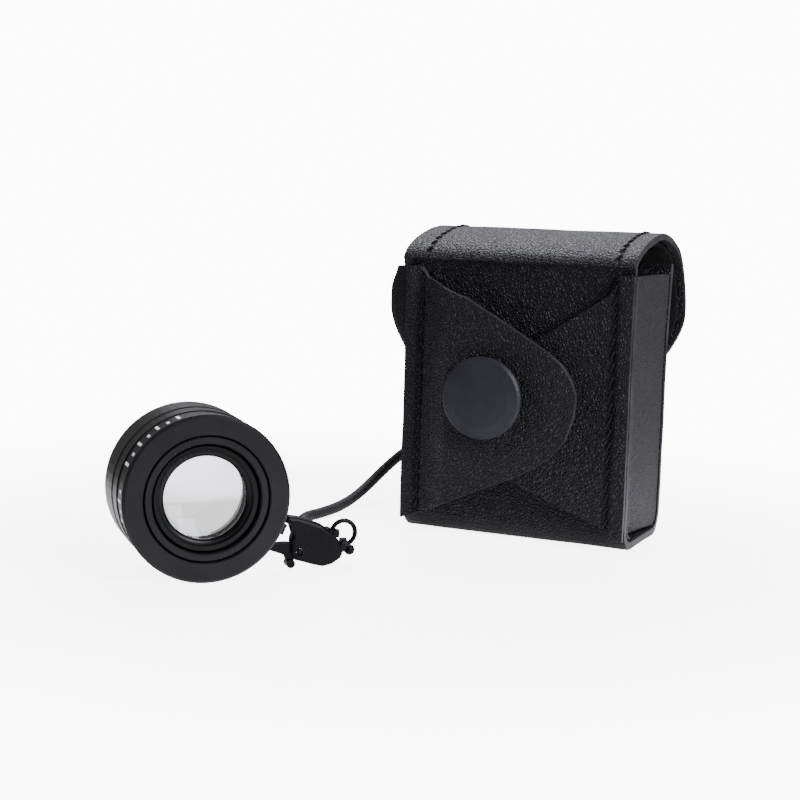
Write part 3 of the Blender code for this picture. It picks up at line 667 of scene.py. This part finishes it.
def soften(mesh_data, rounding, spacing, shape=None):
    """Gives leather its rounded edges and a surface that isn't quite flat.

    shape takes a point in millimetres and gives how far it moves along its normal, in millimetres.
    """
    limit = math.radians(55)
    sharp = [e for e in mesh_data.edges if len(e.link_faces) == 2 and e.calc_face_angle() > limit]
    bmesh.ops.bevel(
        mesh_data,
        geom=sharp,
        offset=rounding * MM,
        segments=3,
        profile=0.5,
        affect="EDGES",
        clamp_overlap=True,
    )
    split_by_planes(mesh_data, spacing * MM)
    mesh_data.normal_update()
    moves = []
    for vert in mesh_data.verts:
        point = vert.co / MM
        move = 0.09 * noise.noise(point / 7.0) + 0.03 * noise.noise(point / 2.5)
        if shape:
            move += shape(point)
        moves.append(vert.normal * move * MM)
    for vert, move in zip(mesh_data.verts, moves):
        vert.co += move
    return mesh_data


def capsule(mesh_data, centre, along, out, length, radius):
    """A rounded stitch, slightly sunk at both ends."""
    across = along.cross(out).normalized()
    rings = []
    for share in (-1.0, -0.85, -0.5, 0.0, 0.5, 0.85, 1.0):
        size = radius * math.sqrt(max(1 - share**4, 0.06))
        lift = radius * 0.7 * (1 - share * share) - radius * 0.35
        middle = centre + along * share * length / 2 + out * lift
        ring = []
        for side in range(STITCH_SIDES):
            angle = 2 * math.pi * side / STITCH_SIDES
            reach = math.cos(angle) * across + math.sin(angle) * out
            ring.append(mesh_data.verts.new(middle + size * reach))
        rings.append(ring)
    join_rings(mesh_data, rings)
    mesh_data.faces.new(rings[0][::-1])
    mesh_data.faces.new(rings[-1])


def stitch_row(name, places, material, body):
    """A row of stitches at (point, direction, outward) places in millimetres."""
    mesh_data = bmesh.new()
    for index, (point, along, out) in enumerate(places):
        lean = 0.1 * (1 if index % 2 else -1) * noise.noise(point * 3.1)
        across = along.cross(out)
        slanted = (along + STITCH_SLANT * across + lean * across).normalized()
        capsule(mesh_data, point * MM, slanted, out, STITCH_LENGTH * MM, THREAD_RADIUS * MM)
    bmesh.ops.recalc_face_normals(mesh_data, faces=mesh_data.faces)
    return add_object(name, mesh_data, material, body)


# ---------------------------------------------------------------- case


def groove(distance, width, depth):
    """How far a surface sinks, a distance away from the middle of a soft groove."""
    return -depth * math.exp(-((distance / width) ** 2))


def seam_shape(point):
    """A front seam: a rolled outer edge and a groove that the stitches sink into."""
    if point.y > -10.3:
        return 0.0
    across = abs(point.x)
    return groove(across - SEAM_STITCH_X, 0.42, 0.4) + groove(across - ROLLED_EDGE_X, 0.8, -0.1)


def lid_shape(point):
    """The lid's seams, the leather's pull between them, and the dish round its press stud."""
    move = groove(abs(point.x) - LID_STITCH_X, 0.4, 0.3) if point.z > 36 else 0.0
    if point.y > 16 and point.z < 36:
        reach = math.hypot(point.x, point.z - LID_SNAP_HEIGHT)
        move -= 0.18 * math.exp(-((reach / 8.5) ** 4))
    return move


def outer_tongue_shape(point):
    """The outer tongue dips under its press stud and swells a little round it."""
    if point.y > -12.0:
        return seam_shape(point)
    reach = math.hypot(point.x - SNAP_CENTRE[0], point.z - SNAP_CENTRE[1])
    return 0.3 * math.exp(-(((reach - 10.5) / 3.0) ** 2)) - 0.12 * math.exp(-((reach / 7.5) ** 4))


def inner_tongue_shape(point):
    """The inner tongue has one shallow wave down its middle."""
    return seam_shape(point) + 0.15 * math.sin(point.z / 5.0) * math.exp(-((point.x / 9.0) ** 2))


def smoothstep(low, high, value):
    """A smooth rise from 0 to 1 between two values."""
    t = min(max((value - low) / (high - low), 0.0), 1.0)
    return t * t * (3 - 2 * t)


def faces_sideways(normal):
    """Picks the cut edges of a strip that bends in Y and Z."""
    return abs(normal.x) > 0.75


def faces_off_front(normal):
    """Picks the cut edges of a sheet that lies across the front."""
    return abs(normal.y) < 0.6


def across_lens_axis(normal):
    """Picks the ground edge of a lens."""
    return abs(normal.dot(LOUPE_AXES[2])) < 0.3


def paint_edges(obj, material, is_edge):
    """Gives a second material to the faces whose normals are picked."""
    obj.data.materials.append(material)
    for face in obj.data.polygons:
        if is_edge(face.normal):
            face.material_index = 1


def height_at(x, edge):
    """The height of an edge at one X, on straight runs between its points."""
    for (x0, z0), (x1, z1) in zip(edge, edge[1:]):
        if x <= x1:
            return z0 + (z1 - z0) * (x - x0) / (x1 - x0)
    return edge[-1][1]


def tongue_sheet(xs, upper, lower, lift, thickness):
    """A tongue and the sewn edge it grows from, as one sheet lofted across X."""
    sections = []
    for x in xs:
        low = height_at(x, lower)
        high = height_at(x, upper)
        back = TONGUE_BACK - lift(x)
        face = back - thickness(x)
        sections.append([(x, back, low), (x, back, high), (x, face, high), (x, face, low)])
    return loft(sections)


def tongues(leather_material, edge_finish_and_highlight):
    """Both tongues, which bend at their seams."""
    sheet = tongue_sheet(
        OUTER_STEPS,
        OUTER_UPPER,
        OUTER_LOWER,
        lambda x: OUTER_LIFT * smoothstep(-15.6, -9.4, x),
        lambda x: ROOT_LEATHER + (OUTER_LEATHER - ROOT_LEATHER) * smoothstep(-16.5, -14.5, x),
    )
    soften(sheet, 0.3, 0.9, outer_tongue_shape)
    outer = add_object("outer_tongue_leather", sheet, leather_material)
    # The cut edges take the edge colour: edge paint with a painted highlight.
    paint_edges(outer, edge_finish_and_highlight, faces_off_front)
    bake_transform(outer)
    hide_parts("outer_tongue", "outer_tongue_root")
    sheet = tongue_sheet(
        INNER_STEPS,
        INNER_UPPER,
        INNER_LOWER,
        lambda x: INNER_LIFT * smoothstep(-14.0, -3.0, -x),
        lambda x: INNER_LEATHER + (ROOT_LEATHER - INNER_LEATHER) * smoothstep(14.5, 16.5, x),
    )
    soften(sheet, 0.25, 0.9, inner_tongue_shape)
    inner = add_object("inner_tongue_leather", sheet, leather_material)
    # The cut edges take the edge colour: edge paint with a painted highlight.
    paint_edges(inner, edge_finish_and_highlight, faces_off_front)
    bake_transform(inner)
    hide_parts("inner_tongue", "inner_tongue_root")


def flap_half_width(y, z):
    """Half of the lid's width at a point: straight over the top, then a round tongue at the back."""
    if y < 10 or z > FLAP_START:
        return HALF_WIDTH
    share = min((FLAP_START - z) / (FLAP_START - FLAP_END), 1.0)
    return max(HALF_WIDTH * (1 - share**1.6) ** 0.8, 0.8)


def left_extra(y, z):
    """How much further the lid reaches on its left, where it stands out over the gusset."""
    if y > 10:
        return LID_LEFT_EXTRA * smoothstep(FLAP_START, 44.0, z)
    return LID_LEFT_EXTRA


def lid_cover(leather_material, edge_finish_and_highlight):
    """The lid's outer leather, which runs on from the case's front over the crease."""
    crease = smooth_line([(y, z, 0) for y, z in CREASE_LINE], 3)
    over = smooth_line([(y, z, 0) for y, z in LID_LINE], 3)[3:]
    line = crease + over
    sections = []
    for index, point in enumerate(line):
        before = line[max(index - 1, 0)]
        after = line[min(index + 1, len(line) - 1)]
        run = (after - before).normalized()
        inward = Vector((run.y, -run.x))
        right = flap_half_width(point.x, point.y)
        left = -right - left_extra(point.x, point.y)
        thickness = LID_LEATHER
        if index < len(crease):
            share = smoothstep(0.3, 1.0, index / len(crease))
            thickness = CREASE_LEATHER + (LID_LEATHER - CREASE_LEATHER) * share
            if point.y < 43.0:
                right = CREASE_HALF
                left = -CREASE_HALF
        inner = Vector((point.x, point.y)) + inward * thickness
        top = [(left, point.x, point.y), (right, point.x, point.y)]
        sections.append(top + [(right, inner.x, inner.y), (left, inner.x, inner.y)])
    sheet = soften(loft(sections), 0.3, 1.1, lid_shape)
    cover = add_object("lid_cover", sheet, leather_material)
    # The cut edges take the edge colour: edge paint with a painted highlight.
    paint_edges(cover, edge_finish_and_highlight, faces_sideways)
    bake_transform(cover)
    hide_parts("lid_leather")


def make_leather_pieces(front, side, shade, lining, edge):
    """The leather pieces that keep the CAD's shape, then the tongues and the lid's cover."""
    for node, name, material, body, rounding, spacing in (
        ("case_body_wrap", "wrap_leather", front, "case", 0.3, 1.6),
        ("case_body_lining", "lining_layer", lining, "case", 0.12, 3.0),
        # The left gusset takes shade: a darker copy of the case leather, painted shade for the side
        # turned away from the lights.
        ("gusset_left", "left_gusset_leather", shade, "case", 0.25, 1.6),
        # The right gusset takes side: a lighter copy of the case leather, painted light for the side that
        # faces the right lamp.
        ("gusset_right", "right_gusset_leather", side, "case", 0.25, 1.6),
        ("cord_tab", "cord_tab_leather", front, "case", 0.25, 0.9),
        ("lid_lining", "lid_lining_layer", lining, "lid", 0.15, 2.5),
    ):
        mesh_data = soften(node_mesh(node), rounding, spacing)
        piece = add_object(name, mesh_data, material, body, node)
        if node == "case_body_wrap":
            # The wrap's cut edges take edge: edge paint with a painted highlight.
            paint_edges(piece, edge, faces_sideways)
    tongues(front, edge)
    lid_cover(front, edge)


def seam_stitches(thread):
    """Stitches down both front seams and over the lid's arch."""
    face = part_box("outer_tongue_root")[0][1] / MM + 0.2
    for name, side in (("left", -1), ("right", 1)):
        line = [Vector((side * SEAM_STITCH_X, face - 0.02, z)) for z in (42.2, 3.6)]
        places = [(p, d, Vector((0, -1, 0))) for p, d in evenly_along(line, STITCH_PITCH, 0.6)]
        stitch_row(name + "_seam_stitches", places, thread, "case")
        arch = smooth_line([(side * LID_STITCH_X, y, z) for y, z in LID_LINE[:16]], 6)
        places = []
        for point, along in evenly_along(arch, STITCH_PITCH, 1.5):
            out = Vector((1, 0, 0)).cross(along)
            places.append((point, along, out))
        stitch_row(name + "_lid_stitches", places, thread, "lid")


# ---------------------------------------------------------------- magnifier, clasp and cord


LOUPE_AXES = (
    Vector((math.cos(LOUPE_HEADING), math.sin(LOUPE_HEADING), 0)),
    Vector((0, 0, 1)),
    Vector((math.sin(LOUPE_HEADING), -math.cos(LOUPE_HEADING), 0)),
)


def on_loupe(radius, angle, depth):
    """The place of a point at a radius and an angle about the magnifier's axis, behind its front."""
    across, upward, outward = LOUPE_AXES
    place = Vector(LOUPE_FRONT) - depth * outward
    return (place + radius * (math.cos(angle) * across + math.sin(angle) * upward)) * MM


def index_bar(mesh_data, angle, width, near, far):
    """A raised painted bar across the marked band, from one depth to another."""
    sections = []
    for step in range(4):
        turn = angle + width * (step / 3 - 0.5)
        sections.append(
            [
                mesh_data.verts.new(on_loupe(BAND_RADIUS - 0.05, turn, near)),
                mesh_data.verts.new(on_loupe(BAND_RADIUS + 0.03, turn, near)),
                mesh_data.verts.new(on_loupe(BAND_RADIUS + 0.03, turn, far)),
                mesh_data.verts.new(on_loupe(BAND_RADIUS - 0.05, turn, far)),
            ]
        )
    join_rings(mesh_data, sections)
    mesh_data.faces.new(sections[0])
    mesh_data.faces.new(sections[-1])


def index_marks(white):
    """A plain scale of bars on the marked band: every other one is short."""
    mesh_data = bmesh.new()
    for index, degrees in enumerate(INDEX_ANGLES):
        far = INDEX_LONG_END if index % 2 == 0 else INDEX_SHORT_END
        index_bar(mesh_data, math.radians(degrees), INDEX_WIDTH / BAND_RADIUS, INDEX_START, far)
    bmesh.ops.recalc_face_normals(mesh_data, faces=mesh_data.faces)
    add_object("index_marks", mesh_data, white, "loupe")


def turned_rings(mesh_data, outline):
    """Rings of vertices about the magnifier's axis, at each (radius, depth) of an outline."""
    turns = [2 * math.pi * step / TURN_STEPS for step in range(TURN_STEPS)]
    rings = []
    for radius, depth in outline:
        rings.append([mesh_data.verts.new(on_loupe(radius, turn, depth)) for turn in turns])
    return rings


def smooth_lens(node, depth, bulge, edge, glass, edge_black):
    """A lens with two fine curved faces and a blackened edge, from a depth behind the front."""
    mesh_data = bmesh.new()
    shares = [step / 10 for step in range(1, 11)]
    front = [(LENS_RADIUS * share, depth + bulge * share**2) for share in shares]
    back_depth = depth + 2 * bulge + edge
    back = [(LENS_RADIUS * share, back_depth - bulge * share**2) for share in shares[::-1]]
    rings = turned_rings(mesh_data, front + back)
    join_rings(mesh_data, rings)
    mesh_data.faces.new(rings[0])
    mesh_data.faces.new(rings[-1])
    bmesh.ops.recalc_face_normals(mesh_data, faces=mesh_data.faces)
    lens = add_object(node + "_glass", mesh_data, glass, "loupe", node)
    paint_edges(lens, edge_black, across_lens_axis)


def retaining_ring(material):
    """The ring that holds the front lens, screwed right up to its cell."""
    mesh_data = bmesh.new()
    join_rings(mesh_data, turned_rings(mesh_data, RETAINER_OUTLINE), closed=True)
    bmesh.ops.recalc_face_normals(mesh_data, faces=mesh_data.faces)
    add_object("retaining_ring", mesh_data, material, "loupe", "lens_retainer")


def tether(material):
    """The cord, from its crimp behind the case to the crimp on the split ring."""
    line = smooth_line(CORD_ROUTE, 4)
    data = bpy.data.curves.new("tether_line", "CURVE")
    data.dimensions = "3D"
    data.bevel_depth = CORD_DIAMETER / 2 * MM
    data.bevel_resolution = 4
    data.use_fill_caps = True
    spline = data.splines.new("POLY")
    spline.points.add(len(line) - 1)
    spline.use_smooth = True
    for point, place in zip(spline.points, line):
        point.co = (*(place * MM), 1.0)
    data.materials.append(material)
    cord = bpy.data.objects.new("tether_line", data)
    bpy.context.collection.objects.link(cord)
    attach(cord, "tether")
    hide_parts("tether_cord")


def repaint(nodes, material):
    """Gives CAD nodes that stay in view a new material."""
    for node in nodes:
        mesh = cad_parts[node].data
        mesh.materials.clear()
        mesh.materials.append(material)


def paint_hard_parts():
    """The metal parts' materials, and the magnifier's lenses and retaining ring."""
    coating = coated_metal(
        "cap_coating_dark", (0.012, 0.012, 0.016), (0.017, 0.017, 0.0215), 0.46, 3500.0
    )
    repaint(["tongue_snap_cap", "lid_snap_cap"], coating)
    black = coated_metal("black_plate", (0.001, 0.001, 0.0016), (0.003, 0.003, 0.004), 0.36, 5000.0, 0.07)
    repaint(["clasp_body", "clasp_gate", "clasp_pin", "clasp_ring", "swivel_knob"], black)
    repaint(["ring_crimp", "tab_crimp", "tab_staple"], black)
    plate = plated_metal("nickel_plate", (0.62, 0.6, 0.56), 0.25)
    repaint(["lid_snap_stud", "lid_stud_post", "lid_snap_socket"], plate)
    repaint(["tongue_snap_socket", "tongue_snap_stud", "tongue_stud_post"], plate)
    barrel = turned_metal("turned_black", (0.005, 0.0048, 0.005), (0.008, 0.0075, 0.008), 0.34, 0.00003)
    repaint(["marked_band", "rear_barrel", "rear_ring", "lanyard_collar"], barrel)
    face = turned_metal("turned_face", (0.006, 0.0056, 0.0065), (0.009, 0.0085, 0.0095), 0.42, 0.000015)
    repaint(["front_bezel", "face_ring"], face)
    inside = turned_metal("inner_black", (0.0012, 0.0012, 0.0014), (0.003, 0.003, 0.0034), 0.3, 0.00003)
    repaint(["lens_cell", "lens_spacer"], inside)
    retaining_ring(inside)
    glass = lens_glass()
    smooth_lens("front_lens", 2.2, 0.7, 1.5, glass, inside)
    smooth_lens("rear_lens", 8.85, 0.9, 1.5, glass, inside)


make_camera()
tether(cord_material())
make_studio()
paint_hard_parts()
front_leather = leather(
    "pebbled_leather", (0.0012, 0.0012, 0.0024), (0.0068, 0.0066, 0.0092), 0.00055, 0.0002, 0.46
)
# The right gusset's leather: its finer, shallower grain is the leather's own; its lighter colour is
# painted light for the side lit by the right lamp.
lit_side_leather = leather(
    "fine_leather_painted_light", (0.012, 0.012, 0.0137), (0.022, 0.0215, 0.0238), 0.00034, 0.00009, 0.5
)
# A darker copy of the case leather: painted shade on the left gusset, which faces away from the lights.
painted_shade_leather = leather(
    "left_gusset_painted_shade", (0.0008, 0.0008, 0.0012), (0.0025, 0.0025, 0.0032), 0.0003, 0.00005, 0.6
)
lining_leather = raw_leather("lining_suede", (0.003, 0.003, 0.003), (0.008, 0.0075, 0.0075))
# The cut edges' colour, lighter than the leather: edge paint with a painted highlight where the edges
# catch the light.
edge_paint_and_highlight = coated_metal("edge_paint_and_highlight", (0.01, 0.01, 0.011), (0.03, 0.03, 0.033), 0.5, 2600.0)
make_leather_pieces(front_leather, lit_side_leather, painted_shade_leather, lining_leather, edge_paint_and_highlight)
seam_stitches(thread_material())
index_marks(mark_material())
